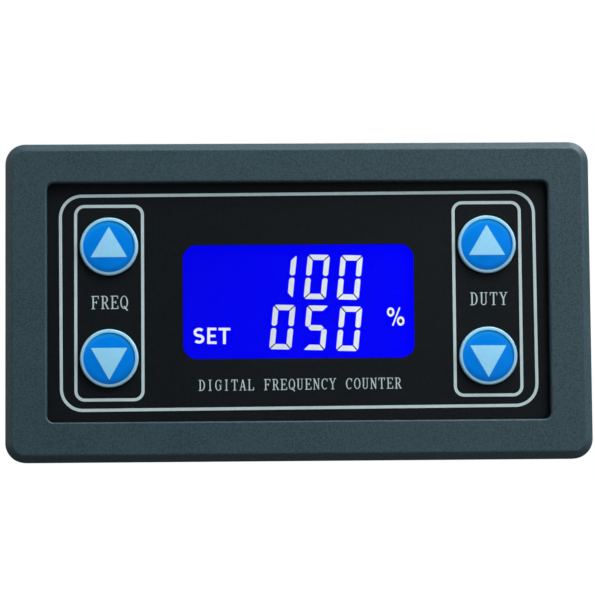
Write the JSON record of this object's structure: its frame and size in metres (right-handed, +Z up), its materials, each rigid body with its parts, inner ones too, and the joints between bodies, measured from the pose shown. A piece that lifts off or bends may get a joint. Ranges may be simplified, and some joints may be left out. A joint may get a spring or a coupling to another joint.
{
  "type": "panel frequency counter",
  "caption": "Panel-mounting frequency counter: a rectangular bezel around a recessed front with a backlit display and two pairs of round keys, on a sleeve with screw terminals behind",
  "frame": {"origin": "centre of the panel cut-out on the rear face of the bezel, which rests on the panel", "axes": "+X to the right of someone facing the display, +Y from the display to the terminals behind the panel, +Z up"},
  "size_m": [0.079, 0.0252, 0.043],
  "materials": {
    "case_plastic": "fine spark texture, dark slate grey ABS",
    "cover_plastic": "fine spark texture",
    "clip_plastic": "satin",
    "film_print": "matte printed polyester, black",
    "window_clear": "clear polished acrylic",
    "button_plastic": "semi-gloss blue with a light blue rim",
    "switch_plastic": "moulded, black",
    "switch_steel": "stamped",
    "tinned_metal": "tinned",
    "polarizer": "blue film, lit from behind",
    "lcd_glass": "polished",
    "guide_acrylic": "frosted clear acrylic",
    "led_resin": "milky resin",
    "holder_plastic": "white, moulded",
    "board_laminate": "green solder mask",
    "screw_steel": "nickel plated",
    "cage_steel": "zinc plated",
    "contact_brass": "tinned brass",
    "chip_resin": "moulded epoxy",
    "can_metal": "satin can",
    "ceramic": "sintered ceramic",
    "terminal_plastic": "green polyamide"
  },
  "bodies": {
    "case": {"case_body": "case_plastic", "rear_cover": "cover_plastic", "front_film": "film_print", "display_window": "window_clear", "switch_bases": "switch_plastic", "switch_covers": "switch_steel", "switch_domes": "switch_steel", "switch_legs": "tinned_metal", "lcd_front_polarizer": "polarizer", "lcd_front_glass": "lcd_glass", "lcd_rear_glass": "lcd_glass", "lcd_rear_polarizer": "polarizer", "lcd_pins": "tinned_metal", "backlight_guide": "guide_acrylic", "backlight_leds": "led_resin", "backlight_legs": "tinned_metal", "display_holder": "holder_plastic", "circuit_board": "board_laminate", "board_screws": "screw_steel", "microcontroller": "chip_resin", "microcontroller_leads": "tinned_metal", "driver_chip": "chip_resin", "driver_chip_leads": "tinned_metal", "voltage_regulator": "chip_resin", "voltage_regulator_leads": "tinned_metal", "crystal_can": "can_metal", "crystal_leads": "tinned_metal", "input_capacitor": "can_metal", "input_capacitor_base": "chip_resin", "input_capacitor_leads": "tinned_metal", "protection_diode": "chip_resin", "protection_diode_leads": "tinned_metal", "chip_resistors": "chip_resin", "chip_capacitors": "ceramic", "chip_terminations": "tinned_metal", "terminal_block": "terminal_plastic", "terminal_contacts": "contact_brass"},
    "freq_up_key": {"freq_up_button": "button_plastic", "freq_up_plunger": "switch_plastic"},
    "freq_down_key": {"freq_down_button": "button_plastic", "freq_down_plunger": "switch_plastic"},
    "duty_up_key": {"duty_up_button": "button_plastic", "duty_up_plunger": "switch_plastic"},
    "duty_down_key": {"duty_down_button": "button_plastic", "duty_down_plunger": "switch_plastic"},
    "screw_1": {"clamp_screw_1": "screw_steel"},
    "cage_1": {"clamp_cage_1": "cage_steel"},
    "screw_2": {"clamp_screw_2": "screw_steel"},
    "cage_2": {"clamp_cage_2": "cage_steel"},
    "screw_3": {"clamp_screw_3": "screw_steel"},
    "cage_3": {"clamp_cage_3": "cage_steel"},
    "screw_4": {"clamp_screw_4": "screw_steel"},
    "cage_4": {"clamp_cage_4": "cage_steel"},
    "clip_left": {"left_clip": "clip_plastic"},
    "clip_right": {"right_clip": "clip_plastic"}
  },
  "joints": [
    {"name": "freq_up_press", "type": "slide", "parent": "case", "child": "freq_up_key", "axis": [0, 1, 0], "range_m": [0, 0.0003], "stiffness_N_per_m": 800, "springref_m": -0.0003},
    {"name": "freq_down_press", "type": "slide", "parent": "case", "child": "freq_down_key", "axis": [0, 1, 0], "range_m": [0, 0.0003], "stiffness_N_per_m": 800, "springref_m": -0.0003},
    {"name": "duty_up_press", "type": "slide", "parent": "case", "child": "duty_up_key", "axis": [0, 1, 0], "range_m": [0, 0.0003], "stiffness_N_per_m": 800, "springref_m": -0.0003},
    {"name": "duty_down_press", "type": "slide", "parent": "case", "child": "duty_down_key", "axis": [0, 1, 0], "range_m": [0, 0.0003], "stiffness_N_per_m": 800, "springref_m": -0.0003},
    {"name": "screw_1_turn", "type": "hinge", "parent": "case", "child": "screw_1", "pos_m": [-0.00762, 0.02, -0.0137], "axis": [0, -1, 0], "range_deg": [0, 1872]},
    {"name": "cage_1_lift", "type": "slide", "parent": "case", "child": "cage_1", "axis": [0, 1, 0], "range_m": [0, 0.0026]},
    {"name": "screw_2_turn", "type": "hinge", "parent": "case", "child": "screw_2", "pos_m": [-0.00254, 0.02, -0.0137], "axis": [0, -1, 0], "range_deg": [0, 1872]},
    {"name": "cage_2_lift", "type": "slide", "parent": "case", "child": "cage_2", "axis": [0, 1, 0], "range_m": [0, 0.0026]},
    {"name": "screw_3_turn", "type": "hinge", "parent": "case", "child": "screw_3", "pos_m": [0.00254, 0.02, -0.0137], "axis": [0, -1, 0], "range_deg": [0, 1872]},
    {"name": "cage_3_lift", "type": "slide", "parent": "case", "child": "cage_3", "axis": [0, 1, 0], "range_m": [0, 0.0026]},
    {"name": "screw_4_turn", "type": "hinge", "parent": "case", "child": "screw_4", "pos_m": [0.00762, 0.02, -0.0137], "axis": [0, -1, 0], "range_deg": [0, 1872]},
    {"name": "cage_4_lift", "type": "slide", "parent": "case", "child": "cage_4", "axis": [0, 1, 0], "range_m": [0, 0.0026]},
    {"name": "left_clip_flex", "type": "hinge", "parent": "case", "child": "clip_left", "pos_m": [-0.0368, 0.0166, 0], "axis": [0, 0, 1], "range_deg": [0, 7], "stiffness_Nm_per_rad": 0.7},
    {"name": "right_clip_flex", "type": "hinge", "parent": "case", "child": "clip_right", "pos_m": [0.0368, 0.0166, 0], "axis": [0, 0, -1], "range_deg": [0, 7], "stiffness_Nm_per_rad": 0.7}
  ],
  "couplings": [
    {"joint": "screw_1_turn", "follows": "cage_1_lift", "rad_per_m": 12566},
    {"joint": "screw_2_turn", "follows": "cage_2_lift", "rad_per_m": 12566},
    {"joint": "screw_3_turn", "follows": "cage_3_lift", "rad_per_m": 12566},
    {"joint": "screw_4_turn", "follows": "cage_4_lift", "rad_per_m": 12566}
  ]
}
